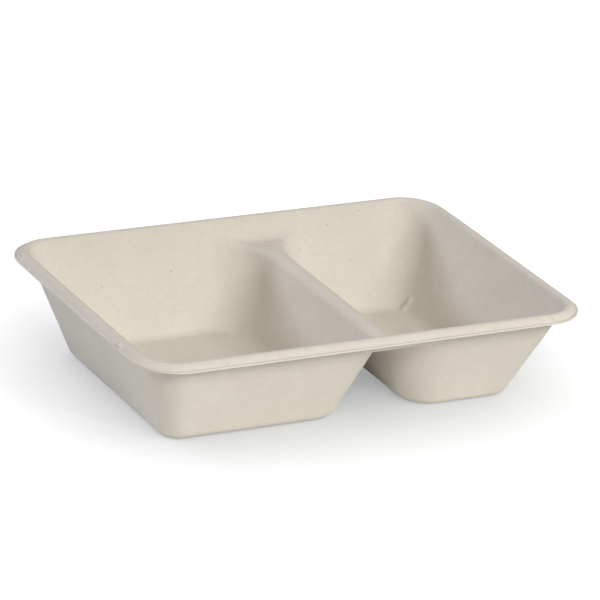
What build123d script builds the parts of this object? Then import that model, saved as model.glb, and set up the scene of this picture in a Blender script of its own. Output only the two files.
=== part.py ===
from build123d import *
import math
import os

# Takeaway tray pressed from plant fibre: two compartments, a hollow divider and a rolled rim, all one sheet.
# Millimetres, +Z up. The origin is on the table under the middle of the tray.
# X runs along the length, with the larger compartment on -X. Y runs along the width.

# Outline over the lip
tray_length = 230.0
tray_width = 160.0
tray_height = 49.5
lip_corner_radius = 21.6

# Thickness of the pulp
wall = 0.8

# Outer walls, with drafts in degrees from upright
end_draft = 21.5
side_draft = 22.5
floor_corner_radius = 9.5
floor_fillet = 6.0

# Rim: a rounded crest, a sloping skirt in degrees from level, and a narrow flat lip
crest_fillet = 2.4
crest_flat = 0.2
skirt_slope = 46.0
skirt_drop = 2.5
lip = 1.1

# Divider: a hollow ridge that flares out into both side walls, with an open groove under it
divider_offset = 18.4
divider_height = 39.0
divider_draft = 20.0
divider_crown = 8.2
crown_fillet = 4.5
flare_radius = 18.0

# Where the crown meets a side wall it curves up, and runs into that wall a few degrees short of flush
saddle_fillet = 4.0
saddle_runout = 8.0

# How far a form runs on past a face that it has to cross
overrun = 8.0


def lean(degrees):
    # Sideways travel for each millimetre of height
    return math.tan(math.radians(degrees))


def slant(degrees):
    # How much wider the sheet is when it is measured level, not square to its leaning face
    return 1 / math.cos(math.radians(degrees))


def brim_inset(draft):
    # From the lip's edge in to the line where the inner wall would reach the top of the rim
    skirt_run = skirt_drop / lean(skirt_slope)
    outer_turn = crest_fillet * lean(skirt_slope / 2)
    inner_turn = crest_fillet * lean((90 - draft) / 2)
    return lip + skirt_run + outer_turn + crest_flat + inner_turn


def half_length(height, depth):
    # Middle of the tray to an end wall at this height
    top = tray_length / 2 - brim_inset(end_draft) + depth * slant(end_draft)
    return top - (tray_height - height) * lean(end_draft)


def half_width(height, depth):
    # Middle of the tray to a side wall at this height
    top = tray_width / 2 - brim_inset(side_draft) + depth * slant(side_draft)
    return top - (tray_height - height) * lean(side_draft)


def half_divider(height, depth):
    # Middle of the divider to one of its flanks at this height
    return divider_crown / 2 + (divider_height - height) * lean(divider_draft) - depth * slant(divider_draft)


def between(plane, half_gap, low, high, depth, reach):
    # A solid that fills the space between two leaning faces, and runs this far along them to both sides
    right = [(half_gap(height, depth), height) for height in (low, high)]
    left = [(-half_gap(height, depth), height) for height in (high, low)]
    return extrude(plane * Polygon(*right, *left, align=None), amount=reach, both=True)


def corner_radius(height):
    # Between an end wall and a side wall, where it grows evenly from the floor to the brim
    brim_radius = lip_corner_radius - brim_inset(end_draft)
    return floor_corner_radius + (brim_radius - floor_corner_radius) * (height - wall) / (tray_height - wall)


def corner_ball(height):
    # Centre of the ball that fits into a corner with its centre at this height, and touches both walls
    end_gap = corner_radius(height) * slant(end_draft)
    side_gap = corner_radius(height) * slant(side_draft)
    return Vector(half_length(height, 0) - end_gap, half_width(height, 0) - side_gap, height)


def corner_touch(height, depth, towards, draft):
    # Where that ball touches the wall on this side
    tilt = math.radians(draft)
    outward = towards * math.cos(tilt) - Vector(0, 0, math.sin(tilt))
    return corner_ball(height) + outward * (corner_radius(height) + depth)


def corner_cone(low, high, depth):
    # The cone around all the balls of one corner
    foot = corner_ball(low)
    axis = corner_ball(high) - foot
    spread = math.asin((corner_radius(high) - corner_radius(low)) / axis.length)
    low_radius = (corner_radius(low) + depth) / math.cos(spread)
    high_radius = (corner_radius(high) + depth) / math.cos(spread)
    seat = (Align.CENTER, Align.CENTER, Align.MIN)
    return Plane(foot, z_dir=axis) * Cone(low_radius, high_radius, axis.length, align=seat)


def corner_facet(low, high, depth):
    # The plane through the two lines along which that cone touches its walls
    end_low = corner_touch(low, depth, Vector(1, 0, 0), end_draft)
    end_high = corner_touch(high, depth, Vector(1, 0, 0), end_draft)
    side_low = corner_touch(low, depth, Vector(0, 1, 0), side_draft)
    rise = end_high - end_low
    return Plane(end_low, x_dir=rise, z_dir=rise.cross(side_low - end_low))


def basin(depth):
    # The space between the outer walls, from the floor to above the rim, with its corners rounded by cones
    low = wall - depth
    high = tray_height + overrun
    slab = Pos(0, 0, low) * Box(tray_length, tray_width, high - low, align=Align.MIN)
    quarter = slab & between(Plane.XZ, half_length, low, high, depth, tray_width)
    quarter &= between(Plane.YZ, half_width, low, high, depth, tray_length)
    quarter = split(quarter, corner_facet(low, high, depth), keep=Keep.TOP)
    quarter += slab & corner_cone(low - overrun, high + overrun, depth)
    half = quarter + mirror(quarter, Plane.YZ)
    return half + mirror(half, Plane.XZ)


def ridge(depth):
    # The divider's flanks, which flare out into blocks that stand for the two side walls
    low = wall - depth - overrun
    high = divider_height + saddle_fillet + wall
    reach = half_divider(low, depth) + flare_radius + overrun
    blocks = extrude(Plane.XY.offset(low) * Rectangle(2 * reach, tray_width), amount=high - low)
    blocks -= between(Plane.YZ, half_width, low, high, depth, tray_length)
    body = blocks + between(Plane.XZ, half_divider, low, high, depth, tray_width / 2)
    leaning_edges = body.edges().group_by(Axis.Z)[1]
    corners = leaning_edges.sort_by(lambda edge: abs(edge.center().X))[:4]
    return fillet(corners, flare_radius + depth)


def space_over_divider(depth):
    # Seen along the length: flat over the crown, then curved up and out through both side walls
    crown = divider_height - depth
    above = divider_height + 2 * overrun
    radius = saddle_fillet + depth
    centre = half_width(crown + radius, depth) - radius * slant(side_draft)
    out_slope = side_draft + saddle_runout
    with BuildSketch(Plane.YZ) as section:
        with BuildLine():
            Line((0, crown), (centre, crown))
            bend = CenterArc((centre, crown + radius), radius, -90, 90 - out_slope)
            rise = above - (bend @ 1).Y
            Polyline(bend @ 1, bend @ 1 + Vector(rise * lean(out_slope), rise), (0, above))
            mirror(about=Plane.YZ)
        make_face()
    return extrude(section.sketch, amount=tray_length / 2, both=True)


def divider(depth):
    body = ridge(depth) - space_over_divider(depth)
    crown = divider_height - depth
    crown_edges = body.edges().filter_by_position(Axis.Z, crown - wall / 2, crown + saddle_fillet + depth)
    level_edges = crown_edges.filter_by(Axis.X)
    return fillet([edge for edge in crown_edges if edge not in level_edges], crown_fillet - depth)


def hollow(depth):
    # The inside of both compartments and the space above them, which the pulp lines
    space = basin(depth) - Pos(divider_offset, 0, 0) * divider(depth)
    floors = space.faces().filter_by(Axis.Z).sort_by(Axis.Z)[:2]
    return fillet([edge for floor in floors for edge in floor.edges()], floor_fillet + depth)


def rim_outline(height, inset):
    outline = RectangleRounded(tray_length - 2 * inset, tray_width - 2 * inset, lip_corner_radius - inset)
    return Plane.XY.offset(height) * outline


def land(depth, margin):
    # The block under the rim: the lip's flat edge, then the skirt's slope up to the crest
    foot = tray_height - skirt_drop - depth
    foot_inset = lip + depth * lean(skirt_slope / 2)
    raised = extrude(rim_outline(foot, foot_inset), amount=skirt_drop, taper=90 - skirt_slope)
    base = extrude(rim_outline(foot, -margin), amount=-(tray_height + margin))
    return base + raised


def press_tool(depth, margin):
    # A solid whose upper face follows the pulp at this depth below its food side
    tool = land(depth, margin) - hollow(depth)
    top = tool.faces().sort_by(Axis.Z)[-1]
    return fillet(top.edges(), crest_fillet - depth)


def tray():
    # The pulp fills the gap between the upper and the lower press tool
    return press_tool(0, 0) - press_tool(wall, overrun)


os.makedirs("parts", exist_ok=True)
export_step(tray(), "parts/tray.step")
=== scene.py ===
import math
import bpy
import bmesh
import numpy as np
from mathutils import Matrix, Vector, noise


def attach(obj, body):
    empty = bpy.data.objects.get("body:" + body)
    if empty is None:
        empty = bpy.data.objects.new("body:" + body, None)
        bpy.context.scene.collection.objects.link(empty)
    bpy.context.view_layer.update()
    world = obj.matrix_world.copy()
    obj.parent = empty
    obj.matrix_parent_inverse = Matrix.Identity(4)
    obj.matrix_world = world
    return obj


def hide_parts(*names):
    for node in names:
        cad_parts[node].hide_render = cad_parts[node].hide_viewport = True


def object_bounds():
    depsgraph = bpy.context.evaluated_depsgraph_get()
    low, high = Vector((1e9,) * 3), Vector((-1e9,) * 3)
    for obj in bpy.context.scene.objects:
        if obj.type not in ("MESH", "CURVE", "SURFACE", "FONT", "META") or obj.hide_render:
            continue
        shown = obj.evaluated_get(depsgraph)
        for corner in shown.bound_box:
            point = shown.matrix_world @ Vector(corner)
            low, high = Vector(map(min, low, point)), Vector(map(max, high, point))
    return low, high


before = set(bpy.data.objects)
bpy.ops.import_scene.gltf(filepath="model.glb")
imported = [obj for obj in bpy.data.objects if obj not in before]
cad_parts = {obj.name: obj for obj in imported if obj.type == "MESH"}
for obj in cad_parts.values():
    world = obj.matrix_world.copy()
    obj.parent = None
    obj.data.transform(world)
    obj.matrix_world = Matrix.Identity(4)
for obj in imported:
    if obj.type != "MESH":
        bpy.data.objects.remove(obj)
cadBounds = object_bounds()
print("frame loaded")

# The camera stands in front, to the left and above, and is rolled a little, as the photo shows the tray
cameraView = {
    "azimuth": 30.07,  # degrees round to the left of the front
    "elevation": 22.38,
    "roll": 5.3,
    "distance": 2.0135,
    "right": 0.00599,  # shift of the whole camera, in metres
    "up": 0.0342,
    "lens": 257.5,
    "sensor": 36.0,
}


def makeCamera(view):
    turn = math.radians(view["azimuth"])
    rise = math.radians(view["elevation"])
    back = Vector((-math.sin(turn) * math.cos(rise), -math.cos(turn) * math.cos(rise), math.sin(rise)))
    side = Vector((math.cos(turn), -math.sin(turn), 0))
    rolled = Matrix.Rotation(math.radians(view["roll"]), 3, back)
    right = rolled @ side
    up = back.cross(right)
    data = bpy.data.cameras.new("camera")
    data.lens = view["lens"]
    data.sensor_width = view["sensor"]
    data.clip_end = 20.0
    camera = bpy.data.objects.new("camera", data)
    camera.matrix_world = Matrix((right, up, back)).transposed().to_4x4()
    camera.location = back * view["distance"] + right * view["right"] + up * view["up"]
    bpy.context.scene.collection.objects.link(camera)
    bpy.context.scene.camera = camera


makeCamera(cameraView)
print("camera placed")

mm = 0.001

# The tray's form, in millimetres and degrees from upright. Its flares, saddles and rim are a little
# softer than the frame's solid, as in the photo
trayForm = {
    "wall": 0.8,
    "lipCorner": 21.6,
    "endDraft": 21.5,
    "sideDraft": 22.5,
    "floorCorner": 9.5,
    "floorFillet": 6.0,
    "crestFillet": 2.4,
    "crestFlat": 0.2,
    "skirtSlope": 46.0,
    "skirtDrop": 2.5,
    "lip": 1.1,
    "beadTurn": 30.0,  # slope where the crest's small radius runs into the skirt's larger one
    "skirtBow": 0.93,  # how much of the skirt's bow is run through before the lip
    "lipRows": ((1.06, 0.06), (0.85, 0.0), (0.4, 0.0), (0.0, 0.0)),
    "dividerPlace": 18.4,
    "dividerHeight": 39.0,
    "dividerDraft": 20.0,
    "dividerCrown": 8.2,
    "crownFillet": 4.5,
    "crownReach": 45.0,  # past this the crown's height no longer counts
    "footFlare": 15.0,
    "crownFlare": 22.0,
    "saddleFillet": 6.0,
    "saddleRunout": 5.0,
    "rimStart": 44.0,  # height at which the rim's sheet begins
}

# How closely the sheets are divided
trayMesh = {
    "fan": 30,
    "straight": 2.4,  # millimetres between lines on the long walls
    "corner": 14,
    "rows": 44,
    "probes": 260,
    "bendWeight": 10.0,
    "floorRows": 9,
    "skirtRows": 5,
    "crestRows": 6,
    "wallRows": 3,
    "slopeStep": 0.01,  # millimetres over which a slope is measured
    "parallel": 1e-4,  # under this two surfaces count as one and get no rounding
    "weld": 0.01,
    "softEdge": 0.22,
    "softEdgeSegments": 2,
    "softEdgeAngle": 60,
}

highCorner = cadBounds[1]
halfX = highCorner.x / mm
halfY = highCorner.y / mm
topZ = highCorner.z / mm


def lean(degrees):
    return math.tan(math.radians(degrees))


def brimInset(draft):
    # From the lip's edge to where the inner wall would reach the top of the rim
    form = trayForm
    skirtRun = form["skirtDrop"] / lean(form["skirtSlope"])
    turns = form["crestFillet"] * (lean(form["skirtSlope"] / 2) + lean((90 - draft) / 2))
    return form["lip"] + skirtRun + turns + form["crestFlat"]


def halfLength(z):
    return halfX - brimInset(trayForm["endDraft"]) - (topZ - z) * lean(trayForm["endDraft"])


def halfWidth(z):
    return halfY - brimInset(trayForm["sideDraft"]) - (topZ - z) * lean(trayForm["sideDraft"])


def flank(z):
    # From the divider's middle to its face
    return trayForm["dividerCrown"] / 2 + (trayForm["dividerHeight"] - z) * lean(trayForm["dividerDraft"])


def growing(low, high, top, z):
    return low + (high - low) * (z - trayForm["wall"]) / (top - trayForm["wall"])


def cornerRadius(z):
    brimCorner = trayForm["lipCorner"] - brimInset(trayForm["endDraft"])
    return growing(trayForm["floorCorner"], brimCorner, topZ, z)


def flareRadius(z):
    return growing(trayForm["footFlare"], trayForm["crownFlare"], trayForm["dividerHeight"], z)


def straightLine(rule):
    # A length that changes evenly with height, as its value at the floor's level and its change with height
    start = rule(0.0)
    return start, rule(1.0) - start


def cornerRise(across, along, radius):
    # Height of a rounded corner over a point, and whether the point lies in that corner
    square = across[1] ** 2 + along[1] ** 2 - radius[1] ** 2
    middle = across[0] * across[1] + along[0] * along[1] - radius[0] * radius[1]
    rest = across[0] ** 2 + along[0] ** 2 - radius[0] ** 2
    z = (-middle - np.sqrt(np.maximum(middle**2 - square * rest, 0))) / square
    return z, (across[0] + across[1] * z > 0) & (along[0] + along[1] * z > 0)


def compartmentRise(x, y, middle):
    # Height of a compartment's walls over each point, with x counted outwards from the tray's middle
    endAt, endStep = straightLine(halfLength)
    sideAt, sideStep = straightLine(halfWidth)
    flankAt, flankStep = straightLine(flank)
    outer = straightLine(cornerRadius)
    flare = straightLine(flareRadius)
    y = np.abs(y)
    walls = np.maximum((x - endAt) / endStep, (y - sideAt) / sideStep)
    walls = np.maximum(walls, (x - middle - flankAt) / flankStep)
    outerX = (x - endAt + outer[0], outer[1] - endStep)
    outerY = (y - sideAt + outer[0], outer[1] - sideStep)
    flareX = (middle + flankAt + flare[0] - x, flankStep + flare[1])
    flareY = (y - sideAt + flare[0], flare[1] - sideStep)
    outerZ, inOuter = cornerRise(outerX, outerY, outer)
    flareZ, inFlare = cornerRise(flareX, flareY, flare)
    walls = np.where(inOuter, np.maximum(outerZ, walls), walls)
    return np.where(inFlare & (x < middle + trayForm["crownReach"]), np.maximum(flareZ, walls), walls)


def crownRise(x, y, middle):
    # Height of the divider's crown over each point, with the saddle up to the side wall at each end
    form = trayForm
    y = np.abs(y)
    radius = form["saddleFillet"]
    turn = math.radians(90 - form["sideDraft"] - form["saddleRunout"])
    start = halfWidth(form["dividerHeight"] + radius) - radius / math.cos(math.radians(form["sideDraft"]))
    bendY = start + radius * math.sin(turn)
    bendZ = form["dividerHeight"] + radius * (1 - math.cos(turn))
    drop = np.sqrt(np.maximum(radius**2 - np.maximum(y - start, 0) ** 2, 0))
    bend = form["dividerHeight"] + radius - drop
    runout = bendZ + (y - bendY) * math.tan(turn)
    saddle = np.where(y < bendY, bend, runout)
    sideAt, sideStep = straightLine(halfWidth)
    return np.maximum(saddle, (y - sideAt) / sideStep)


def slopeOf(rise, x, y, middle):
    step = trayMesh["slopeStep"]
    return (
        (rise(x + step, y, middle) - rise(x - step, y, middle)) / (2 * step),
        (rise(x, y + step, middle) - rise(x, y - step, middle)) / (2 * step),
    )


def roundedLower(z1, slope1, z2, slope2, radius):
    # The lower of two leaning surfaces, with their edge rounded by a ball of this radius
    c1 = 1 / np.sqrt(1 + slope1[0] ** 2 + slope1[1] ** 2)
    c2 = 1 / np.sqrt(1 + slope2[0] ** 2 + slope2[1] ** 2)
    cosine = (1 + slope1[0] * slope2[0] + slope1[1] * slope2[1]) * c1 * c2
    a0 = radius - z1 * c1
    b0 = radius - z2 * c2
    square = c1**2 + c2**2 - 2 * c1 * c2 * cosine
    middle = a0 * c1 + b0 * c2 - cosine * (a0 * c2 + b0 * c1)
    rest = a0**2 + b0**2 - 2 * a0 * b0 * cosine - radius**2 * (1 - cosine**2)
    inside = middle**2 - square * rest
    z = (-middle + np.sqrt(np.maximum(inside, 0))) / np.maximum(square, trayMesh["parallel"] ** 2)
    a = a0 + c1 * z
    b = b0 + c2 * z
    between = (a > 0) & (b > 0) & (a * cosine <= b) & (b * cosine <= a)
    rounded = between & (1 - cosine**2 > trayMesh["parallel"]) & (inside > 0)
    return np.where(rounded, z, np.minimum(z1, z2))


def surfaceRise(x, y, middle):
    # Height of the finished food side over each point
    form = trayForm
    level = (np.zeros_like(x), np.zeros_like(x))
    walls = compartmentRise(x, y, middle)
    slope = slopeOf(compartmentRise, x, y, middle)
    down = (-slope[0], -slope[1])
    floor = np.full_like(x, -form["wall"])
    walls = -roundedLower(-walls, down, floor, level, form["floorFillet"])
    crown = crownRise(x, y, middle)
    crowned = roundedLower(walls, slope, crown, slopeOf(crownRise, x, y, middle), trayForm["crownFillet"])
    return np.where(x < middle + form["crownReach"], crowned, walls)


def straightSteps(length):
    return max(2, round(length / trayMesh["straight"]))


def outlineWalk(middle, endX, sideY, radius, fanEnd, steps):
    # Along one compartment's outer walls, from the divider's front end round to its back end
    reach = endX - radius - middle
    near = np.linspace(0, fanEnd, trayMesh["fan"] + 1)[:-1]
    far = np.linspace(fanEnd, 1, steps[0] + 1)
    along = middle + np.concatenate([near, far]) * reach
    turn = np.radians(np.linspace(-90, 0, trayMesh["corner"] + 1))[1:]
    arcX = endX - radius + radius * np.cos(turn)
    arcY = -sideY + radius + radius * np.sin(turn)
    up = np.linspace(-sideY + radius, sideY - radius, steps[1] + 1)[1:]
    x = np.concatenate([along, arcX, np.full(len(up), endX), arcX[::-1][1:], along[::-1]])
    y = np.concatenate([np.full(len(along), -sideY), arcY, up, -arcY[::-1][1:], np.full(len(along), sideY)])
    return np.stack([x, y], -1)


def floorWalk(middle, steps, seamSteps):
    # Round the flat of the floor, one point for each point of the walk above it and of the seam
    form = trayForm
    z = form["wall"]
    inset = form["floorFillet"] * math.tan(math.radians((90 - form["sideDraft"]) / 2))
    endX = halfLength(z) - inset
    sideY = halfWidth(z) - inset
    innerX = middle + flank(z) + inset
    radius = form["floorCorner"] - inset
    flare = form["footFlare"] - inset
    fanTurn = np.radians(np.linspace(45, 0, trayMesh["fan"] + 1))
    fanX = innerX + flare - flare * np.sin(fanTurn)
    fanY = -sideY + flare - flare * np.cos(fanTurn)
    frontX = np.concatenate([fanX, np.linspace(innerX + flare, endX - radius, steps[0] + 1)[1:]])
    frontY = np.concatenate([fanY, np.full(steps[0], -sideY)])
    turn = np.radians(np.linspace(-90, 0, trayMesh["corner"] + 1))[1:]
    arcX = endX - radius + radius * np.cos(turn)
    arcY = -sideY + radius + radius * np.sin(turn)
    up = np.linspace(-sideY + radius, sideY - radius, steps[1] + 1)[1:]
    seamTurn = np.radians(np.linspace(45, 90, trayMesh["fan"] + 1))[1:]
    seamBendX = innerX + flare - flare * np.sin(seamTurn)
    seamBendY = sideY - flare + flare * np.cos(seamTurn)
    seamStraight = np.linspace(sideY - flare, -sideY + flare, seamSteps + 1)[1:-1]
    seamX = np.concatenate([seamBendX, np.full(seamSteps - 1, innerX), seamBendX[::-1]])
    seamY = np.concatenate([seamBendY, seamStraight, -seamBendY[::-1]])
    x = np.concatenate([frontX, arcX, np.full(len(up), endX), arcX[::-1][1:], frontX[::-1], seamX])
    y = np.concatenate([frontY, arcY, up, -arcY[::-1][1:], -frontY[::-1], seamY])
    return np.stack([x, y], -1)


def seamWalk(middle, seamSteps):
    # Along the top of the divider from the back wall to the front wall, without its two end points
    form = trayForm
    sideY = halfWidth(form["rimStart"])
    turnY = halfWidth(form["dividerHeight"]) - form["crownFlare"]
    y = np.concatenate([
        np.linspace(sideY, turnY, trayMesh["fan"] + 1)[1:],
        np.linspace(turnY, -turnY, seamSteps + 1)[1:-1],
        np.linspace(-turnY, -sideY, trayMesh["fan"] + 1)[:-1],
    ])
    return np.stack([np.full(len(y), middle), y], -1)


def compartmentSheet(middle):
    # Rows of places from the rim's sheet and the divider's middle down to the flat of the floor
    form = trayForm
    z = form["rimStart"]
    endX, sideY, radius = halfLength(z), halfWidth(z), cornerRadius(z)
    fanEnd = (flank(z) + flareRadius(z)) / (endX - radius - middle)
    steps = (straightSteps((1 - fanEnd) * (endX - radius - middle)), straightSteps(2 * (sideY - radius)))
    seamSteps = straightSteps(2 * (halfWidth(form["dividerHeight"]) - form["crownFlare"]))
    outer = outlineWalk(middle, endX, sideY, radius, fanEnd, steps)
    start = np.concatenate([outer, seamWalk(middle, seamSteps)])
    end = floorWalk(middle, steps, seamSteps)
    probe = np.linspace(0, 1, trayMesh["probes"])
    path = start[:, None] + (end - start)[:, None] * probe[:, None]
    rise = surfaceRise(path[..., 0], path[..., 1], middle)
    line = np.diff(np.concatenate([path, rise[..., None]], -1), axis=1)
    length = np.linalg.norm(line, axis=-1)
    bend = np.zeros_like(length)
    unit = line / length[..., None]
    bend[:, 1:] = np.linalg.norm(np.diff(unit, axis=1), axis=-1)
    effort = np.cumsum(length + trayMesh["bendWeight"] * bend, axis=1)
    effort = np.concatenate([np.zeros((len(start), 1)), effort], 1)
    wanted = np.linspace(0, 1, trayMesh["rows"] + 1)
    share = np.array([np.interp(wanted, row / row[-1], probe) for row in effort])
    path = start[:, None] + (end - start)[:, None] * share[..., None]
    rise = surfaceRise(path[..., 0], path[..., 1], middle)
    return np.concatenate([path, rise[..., None]], -1), fanEnd, steps


def floorSheet(ring):
    # From the edge of the floor's flat in to its middle line
    low = ring.min(0)
    high = ring.max(0)
    half = (high - low) / 2
    spine = np.maximum(half - half[:2].min(), 0)
    centre = (high + low) / 2
    target = np.clip(ring, centre - spine, centre + spine)
    target[:, 2] = ring[:, 2]
    share = np.linspace(0, 1, trayMesh["floorRows"] + 1)[:-1]
    return ring[:, None] + (target - ring)[:, None] * share[:, None]


def rimSheet(middle, fanEnd, steps):
    # Up the last of the wall, over the crest, down the skirt and out over the lip
    form = trayForm
    crest = form["crestFillet"]
    hub = form["lip"] + form["skirtDrop"] / lean(form["skirtSlope"]) + crest * lean(form["skirtSlope"] / 2)
    rows = []
    for step in range(trayMesh["wallRows"]):
        share = step / trayMesh["wallRows"]
        top = topZ - crest * (1 - math.sin(math.radians(form["endDraft"])))
        z = form["rimStart"] + (top - form["rimStart"]) * share
        rows.append((halfX - halfLength(z), halfY - halfWidth(z), z, cornerRadius(z)))
    for step in range(trayMesh["crestRows"] + 1):
        share = 1 - step / trayMesh["crestRows"]
        turnX = math.radians((90 - form["endDraft"]) * share)
        turnY = math.radians((90 - form["sideDraft"]) * share)
        insetX = hub + form["crestFlat"] + crest * math.sin(turnX)
        insetY = hub + form["crestFlat"] + crest * math.sin(turnY)
        z = topZ - crest * (1 - (math.cos(turnX) + math.cos(turnY)) / 2)
        concentric = form["lipCorner"] - (insetX + insetY) / 2
        rows.append((insetX, insetY, z, concentric + (cornerRadius(z) - concentric) * share))
    start = math.radians(form["beadTurn"])
    for step in range(trayMesh["crestRows"] + 1):
        turn = start * step / trayMesh["crestRows"]
        inset = hub - crest * math.sin(turn)
        rows.append((inset, inset, topZ - crest * (1 - math.cos(turn)), form["lipCorner"] - inset))
    foot = topZ - form["skirtDrop"]
    inset, z = rows[-1][0], rows[-1][2]
    bend = math.atan2(z - foot, inset - form["lip"]) - start
    radius = math.hypot(z - foot, inset - form["lip"]) / (2 * math.sin(bend))
    for step in range(1, trayMesh["skirtRows"] + 1):
        turn = start + 2 * bend * form["skirtBow"] * step / trayMesh["skirtRows"]
        across = inset - radius * (math.sin(turn) - math.sin(start))
        level = z - radius * (math.cos(start) - math.cos(turn))
        rows.append((across, across, level, form["lipCorner"] - across))
    for across, lift in form["lipRows"]:
        rows.append((across, across, foot + lift, form["lipCorner"] - across))
    sheet = []
    for insetX, insetY, z, radius in rows:
        walk = outlineWalk(middle, halfX - insetX, halfY - insetY, radius, fanEnd, steps)
        sheet.append(np.concatenate([walk, np.full((len(walk), 1), z)], -1))
    return np.stack(sheet, 1)


def addSheet(build, places, closed):
    # A flat grid whose points move to their places. A closed one is a ring
    if closed:
        places = np.concatenate([places, places[:1]])
    columns, rows = places.shape[:2]
    verts = bmesh.ops.create_grid(build, x_segments=columns - 1, y_segments=rows - 1, size=1.0)["verts"]
    for vert in verts:
        column = round((vert.co.x + 1) / 2 * (columns - 1))
        row = round((vert.co.y + 1) / 2 * (rows - 1))
        vert.co = places[column, row]


# Fold, chips and crease that the pressing left, in millimetres: a ridge from one place to the other
marks = {
    "cornerFold": {
        "start": (91.6, 46.3, 7.0),
        "end": (89.2, 47.1, 3.0),
        "rise": 1.45,
        "width": 1.6,
        "cuts": 3,
    },
    "rimChip": {
        "start": (-113.2, -44.6, 47.6),
        "end": (-113.8, -48.2, 47.2),
        "rise": 1.1,
        "width": 0.6,
        "cuts": 3,
    },
    "lipChip": {
        "start": (-75.2, -79.0, 47.0),
        "end": (-75.9, -78.6, 47.2),
        "rise": 0.6,
        "width": 0.6,
        "cuts": 3,
    },
    "dividerCrease": {
        "start": (-2.6, 69.2, 39.8),
        "end": (3.0, 66.2, 37.7),
        "rise": -0.2,
        "width": 0.6,
        "cuts": 2,
    },
}

# How the mesh is divided finer round a mark, and how far its ridge reaches, by the mark's width
markReach = {"fine": 2.2, "fineMargin": 1.5, "ridge": 3.0}

# Unevenness of pressed and dried pulp, in millimetres
unevenness = {
    "wide": {"size": 42.0, "rise": 0.22, "seed": 3.0},
    "near": {"size": 13.0, "rise": 0.05, "seed": 7.0},
    "lipWave": {"size": 55.0, "rise": 0.25, "seed": 11.0},
    "fadeTop": 2.0,  # above the rim's start the walls run true
    "fadeRun": 6.0,
    "lowEnd": 0.011,  # how much lower the large compartment's end stands than the other one
}


def waver(place, wave):
    return noise.noise(place / wave["size"] + Vector((wave["seed"], 0, 0))) * wave["rise"]


def awayFrom(place, mark):
    # Distance from a place to the mark's line
    start, end = Vector(mark["start"]), Vector(mark["end"])
    line = end - start
    share = max(0.0, min(1.0, (place - start).dot(line) / line.length_squared))
    return (place - start - line * share).length


def addMark(build, mark):
    # The mesh is divided finer round the mark before its ridge is raised
    reach = markReach["fine"] * mark["width"] + markReach["fineMargin"]
    near = [vert for vert in build.verts if awayFrom(vert.co, mark) < reach]
    edges = {edge for vert in near for edge in vert.link_edges}
    bmesh.ops.subdivide_edges(build, edges=list(edges), cuts=mark["cuts"], use_grid_fill=True)
    build.normal_update()
    moves = []
    for vert in build.verts:
        away = awayFrom(vert.co, mark)
        if away < markReach["ridge"] * mark["width"]:
            height = mark["rise"] * math.exp(-((away / mark["width"]) ** 2))
            moves.append((vert, vert.normal * height))
    for vert, move in moves:
        vert.co += move


def roughen(build):
    # Walls and floors waver along their normals, and the lip runs a little uneven
    build.normal_update()
    rimLevel = trayForm["rimStart"]
    for vert in build.verts:
        place = vert.co.copy()
        lift = waver(place, unevenness["wide"]) + waver(place, unevenness["near"])
        fade = max(0.0, min(1.0, (rimLevel + unevenness["fadeTop"] - place.z) / unevenness["fadeRun"]))
        move = vert.normal * lift * fade
        if place.z < 2 * trayForm["wall"]:
            move = Vector((0, 0, abs(lift)))
        vert.co += move
        if place.z > rimLevel:
            edge = max(0.0, min(1.0, (topZ - place.z) / trayForm["skirtDrop"]))
            outside = max(abs(place.x) - halfX, abs(place.y) - halfY) + brimInset(trayForm["endDraft"])
            if outside > 0:
                vert.co.z -= abs(waver(place, unevenness["lipWave"])) * edge
        vert.co.z *= 1 - unevenness["lowEnd"] * (1 - place.x / halfX) / 2


def buildTray():
    build = bmesh.new()
    for side in (1, -1):
        middle = side * trayForm["dividerPlace"]
        walls, fanEnd, steps = compartmentSheet(middle)
        floor = floorSheet(walls[:, -1])
        flip = np.array([side, 1, 1])
        addSheet(build, walls * flip, True)
        addSheet(build, floor * flip, True)
        addSheet(build, rimSheet(middle, fanEnd, steps) * flip, False)
    bmesh.ops.remove_doubles(build, verts=build.verts[:], dist=trayMesh["weld"])
    openEdges = [edge for edge in build.edges if edge.is_boundary]
    holes = [edge for edge in openEdges if max(v.co.z for v in edge.verts) < 2 * trayForm["wall"]]
    bmesh.ops.holes_fill(build, edges=holes)
    bmesh.ops.recalc_face_normals(build, faces=build.faces[:])
    roughen(build)
    for mark in marks.values():
        addMark(build, mark)
    bmesh.ops.scale(build, vec=(mm, mm, mm), verts=build.verts[:])
    for face in build.faces:
        face.smooth = True
    mesh = bpy.data.meshes.new("pulpTray")
    build.to_mesh(mesh)
    build.free()
    return mesh


# Pressed plant fibre: warm cream, matt, with fibre flecks and a few dark specks
pulp = {
    "color": (0.675, 0.622, 0.555, 1),
    "paleColor": (0.700, 0.648, 0.582, 1),
    "deepColor": (0.635, 0.575, 0.50, 1),
    "fibreColor": (0.52, 0.44, 0.33, 1),
    "speckColor": (0.16, 0.11, 0.07, 1),
    "roughness": 0.88,
    "roughnessSpread": 0.12,
    "specular": 0.25,
    "cloudScale": 38.0,
    "mottleScale": 420.0,
    "fineScale": 1700.0,
    "mottle": 0.4,
    "fibres": 0.10,
    "fibreEdge": (0.62, 0.7),
    "fibreLayers": (  # how each layer is turned and stretched
        ((0.2, 0.5, 0.7), (210.0, 2300.0, 900.0)),
        ((0.9, 0.1, 2.1), (190.0, 2100.0, 1100.0)),
        ((0.4, 1.2, 3.9), (240.0, 2500.0, 1000.0)),
    ),
    "specks": 0.38,
    "speckEdge": (0.00055, 0.0003),  # metres from the middle, from clear to dark
    "looseScale": 75.0,
    "looseChance": (0.74, 0.78),  # only cells above this have a speck
    "looseEdge": (0.022, 0.012),
    "bump": 0.35,
    "bumpDepth": 0.00012,  # metres
    "fibreRise": 0.3,
    "mottleRise": 0.6,
}

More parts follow.
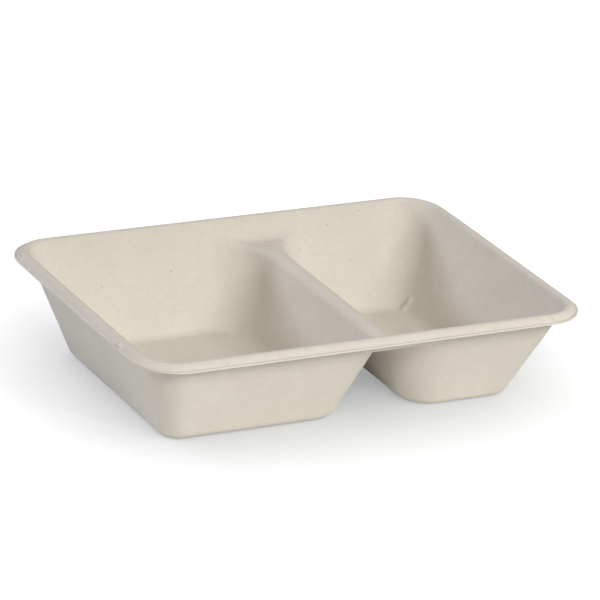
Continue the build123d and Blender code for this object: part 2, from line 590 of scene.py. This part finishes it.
# Dark specks that the photo shows, in millimetres
specks = {
    "backWallLeft": (-67.8, 64.0, 26.2),
    "backWallMiddle": (-31.0, 65.2, 29.1),
    "smallBackWall": (65.8, 63.3, 24.5),
    "smallBackHigh": (55.1, 70.3, 41.3),
    "smallBackRim": (72.9, 72.4, 46.4),
    "dividerEnd": (38.5, 65.3, 32.5),
    "underLip": (-21.4, -67.8, 35.3),
    "rimRight": (92.8, -77.5, 48.4),
    "grooveFace": (31.7, -35.1, 13.6),
    "frontWall": (65.6, -61.2, 19.3),
}


class Wiring:
    # Nodes of a material or the world, added one at a time and wired as they come
    def __init__(self, owner):
        self.owner = owner
        self.owner.use_nodes = True
        self.tree = self.owner.node_tree
        self.tree.nodes.clear()

    def add(self, kind, settings=None, **inputs):
        node = self.tree.nodes.new(kind)
        for name, value in (settings or {}).items():
            setattr(node, name, value)
        for name, value in inputs.items():
            numbered = name[0] == "n" and name[1:].isdigit()  # n0 is the first socket
            slot = node.inputs[int(name[1:]) if numbered else name.replace("_", " ")]
            if isinstance(value, bpy.types.NodeSocket):
                self.tree.links.new(value, slot)
            else:
                slot.default_value = value
        return node


def mixed(wiring, amount, first, second):
    node = wiring.add("ShaderNodeMix", {"data_type": "RGBA"}, n0=amount, n6=first, n7=second)
    return node.outputs[2]


def smoothStep(wiring, value, low, high):
    # A value turned into a smooth step from 0 to 1
    node = wiring.add("ShaderNodeMapRange", {"interpolation_type": "SMOOTHSTEP"}, n0=value, n1=low, n2=high)
    return node.outputs[0]


def grain(wiring, place, scale, detail):
    node = wiring.add("ShaderNodeTexNoise", Vector=place, Scale=scale, Detail=detail)
    return node.outputs["Fac"]


def calculated(wiring, operation, *values):
    inputs = {"n%d" % number: value for number, value in enumerate(values)}
    return wiring.add("ShaderNodeMath", {"operation": operation}, **inputs).outputs[0]


def fibreLayer(wiring, place, turn, stretch, edge):
    # Short thin streaks that lie one way
    laid = wiring.add("ShaderNodeMapping", n0=place, Rotation=turn, Scale=stretch).outputs[0]
    return smoothStep(wiring, grain(wiring, laid, 1.0, 1.0), *edge)


def strongest(wiring, values):
    total = values[0]
    for value in values[1:]:
        total = calculated(wiring, "MAXIMUM", total, value)
    return total


def darkSpecks(wiring, look, place):
    # The photo's own specks, and a few loose ones elsewhere
    found = []
    for spot in specks.values():
        away = wiring.add("ShaderNodeVectorMath", {"operation": "DISTANCE"}, n0=place, n1=Vector(spot) * mm)
        found.append(smoothStep(wiring, away.outputs["Value"], *look["speckEdge"]))
    cells = wiring.add("ShaderNodeTexVoronoi", Vector=place, Scale=look["looseScale"])
    chance = wiring.add("ShaderNodeSeparateColor", n0=cells.outputs["Color"]).outputs[0]
    rare = smoothStep(wiring, chance, *look["looseChance"])
    small = smoothStep(wiring, cells.outputs["Distance"], *look["looseEdge"])
    found.append(calculated(wiring, "MULTIPLY", rare, small))
    return strongest(wiring, found)


def pulpMaterial(look):
    wiring = Wiring(bpy.data.materials.new("pulp"))
    place = wiring.add("ShaderNodeTexCoord").outputs["Object"]
    clouds = smoothStep(wiring, grain(wiring, place, look["cloudScale"], 3.0), 0.3, 0.7)
    mottle = smoothStep(wiring, grain(wiring, place, look["mottleScale"], 3.0), 0.3, 0.75)
    fine = grain(wiring, place, look["fineScale"], 2.0)
    layers = [fibreLayer(wiring, place, *layer, look["fibreEdge"]) for layer in look["fibreLayers"]]
    fibres = strongest(wiring, layers)
    dark = darkSpecks(wiring, look, place)

    color = mixed(wiring, clouds, look["color"], look["paleColor"])
    color = mixed(wiring, calculated(wiring, "MULTIPLY", mottle, look["mottle"]), color, look["deepColor"])
    color = mixed(wiring, calculated(wiring, "MULTIPLY", fibres, look["fibres"]), color, look["fibreColor"])
    color = mixed(wiring, calculated(wiring, "MULTIPLY", dark, look["specks"]), color, look["speckColor"])

    raised = calculated(wiring, "MULTIPLY_ADD", fibres, look["fibreRise"], fine)
    raised = calculated(wiring, "MULTIPLY_ADD", mottle, look["mottleRise"], raised)
    bump = wiring.add("ShaderNodeBump", Strength=look["bump"], Distance=look["bumpDepth"], Height=raised)
    smoothest = look["roughness"] - look["roughnessSpread"] / 2
    shader = wiring.add(
        "ShaderNodeBsdfPrincipled",
        Base_Color=color,
        Roughness=calculated(wiring, "MULTIPLY_ADD", fine, look["roughnessSpread"], smoothest),
        Specular_IOR_Level=look["specular"],
        Normal=bump.outputs[0],
    )
    wiring.add("ShaderNodeOutputMaterial", Surface=shader.outputs[0])
    return wiring.owner


trayPiece = bpy.data.objects.new("pulpTray", buildTray())
bpy.context.scene.collection.objects.link(trayPiece)
shell = trayPiece.modifiers.new("shell", "SOLIDIFY")
shell.thickness = trayForm["wall"] * mm
shell.offset = -1
shell.use_even_offset = True
softEdge = trayPiece.modifiers.new("softEdge", "BEVEL")
softEdge.width = trayMesh["softEdge"] * mm
softEdge.segments = trayMesh["softEdgeSegments"]
softEdge.limit_method = "ANGLE"
softEdge.angle_limit = math.radians(trayMesh["softEdgeAngle"])
trayPiece.data.materials.append(pulpMaterial(pulp))
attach(trayPiece, "root")
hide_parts("tray")
print("tray built")

# Soft studio lamps on a sphere round the tray, aimed at it. Azimuth counts from the front to the right
lampDistance = 2.2
aimHeight = 0.02
tints = {"plain": (0.98, 1.0, 0.97), "cool": (0.79, 0.86, 1.0), "warm": (1.0, 0.94, 0.86)}
lamps = {
    "leftBack": {"azimuth": 240, "elevation": 17, "size": 0.35, "power": 12.5, "tint": "cool"},
    "back": {"azimuth": 212, "elevation": 20, "size": 0.35, "power": 10.0, "tint": "cool"},
    "frontLeft": {"azimuth": -20, "elevation": 37, "size": 0.4, "power": 18.0, "tint": "plain"},
    "front": {"azimuth": 15, "elevation": 30, "size": 0.3, "power": 15.0, "tint": "plain"},
    "frontRight": {"azimuth": 42, "elevation": 38, "size": 0.5, "power": 11.0, "tint": "plain"},
    "right": {"azimuth": 72, "elevation": 22, "size": 0.4, "power": 4.5, "tint": "plain"},
    "topBack": {"azimuth": 225, "elevation": 50, "size": 0.6, "power": 6.0, "tint": "warm"},
    "topFront": {"azimuth": 45, "elevation": 65, "size": 0.6, "power": 3.5, "tint": "warm"},
}


def makeLamp(name, lamp):
    data = bpy.data.lights.new(name, "AREA")
    data.shape = "SQUARE"
    data.size = lamp["size"]
    data.energy = lamp["power"]
    data.color = tints[lamp["tint"]]
    turn = math.radians(lamp["azimuth"])
    rise = math.radians(lamp["elevation"])
    out = Vector((math.sin(turn) * math.cos(rise), -math.cos(turn) * math.cos(rise), math.sin(rise)))
    light = bpy.data.objects.new(name, data)
    light.location = out * lampDistance + Vector((0, 0, aimHeight))
    light.rotation_mode = "QUATERNION"
    light.rotation_quaternion = out.to_track_quat("Z", "Y")
    bpy.context.scene.collection.objects.link(light)


for lampName, lamp in lamps.items():
    makeLamp(lampName, lamp)

# The floor bounces the lamps' light, and the camera sees it white with the tray's soft shadow
floorLook = {
    "color": (0.9, 0.9, 0.9, 1),
    "seenColor": (0.22, 0.22, 0.22, 1),  # takes the lamps' shadows
    "shadowColor": (0.325, 0.325, 0.33, 1),
    "shadowReach": 0.081,  # metres
    "size": 6.0,  # from the middle to an edge
}


def seenRays(wiring):
    # 1 for the rays that show the background, 0 for those that light the tray
    path = wiring.add("ShaderNodeLightPath")
    kinds = ("Is Camera Ray", "Is Glossy Ray", "Is Transmission Ray")
    return strongest(wiring, [path.outputs[kind] for kind in kinds])


def studioWorld():
    # White behind the floor's edge, and dark for the rays that light the tray
    wiring = Wiring(bpy.data.worlds.new("studio"))
    sky = wiring.add("ShaderNodeBackground", Color=(1, 1, 1, 1), Strength=seenRays(wiring))
    wiring.add("ShaderNodeOutputWorld", Surface=sky.outputs[0])
    return wiring.owner


def floorMaterial(look):
    wiring = Wiring(bpy.data.materials.new("floor"))
    bounce = wiring.add("ShaderNodeBsdfDiffuse", Color=look["color"])
    seen = wiring.add("ShaderNodeBsdfDiffuse", Color=look["seenColor"])
    openness = wiring.add("ShaderNodeAmbientOcclusion", Distance=look["shadowReach"])
    shade = mixed(wiring, openness.outputs["AO"], look["shadowColor"], (1, 1, 1, 1))
    glow = wiring.add("ShaderNodeEmission", Color=shade, Strength=1.0)
    shown = wiring.add("ShaderNodeAddShader", n0=seen.outputs[0], n1=glow.outputs[0])
    seenShare = seenRays(wiring)
    split = wiring.add("ShaderNodeMixShader", n0=seenShare, n1=bounce.outputs[0], n2=shown.outputs[0])
    wiring.add("ShaderNodeOutputMaterial", Surface=split.outputs[0])
    return wiring.owner


bpy.context.scene.world = studioWorld()
floorMesh = bpy.data.meshes.new("floor")
floorBuild = bmesh.new()
bmesh.ops.create_grid(floorBuild, x_segments=1, y_segments=1, size=floorLook["size"])
floorBuild.to_mesh(floorMesh)
floorBuild.free()
floorMesh.materials.append(floorMaterial(floorLook))
floor = bpy.data.objects.new("floor", floorMesh)
bpy.context.scene.collection.objects.link(floor)
print("lamps and floor placed")

bpy.context.scene.view_settings.view_transform = "Standard"
print("scene done")
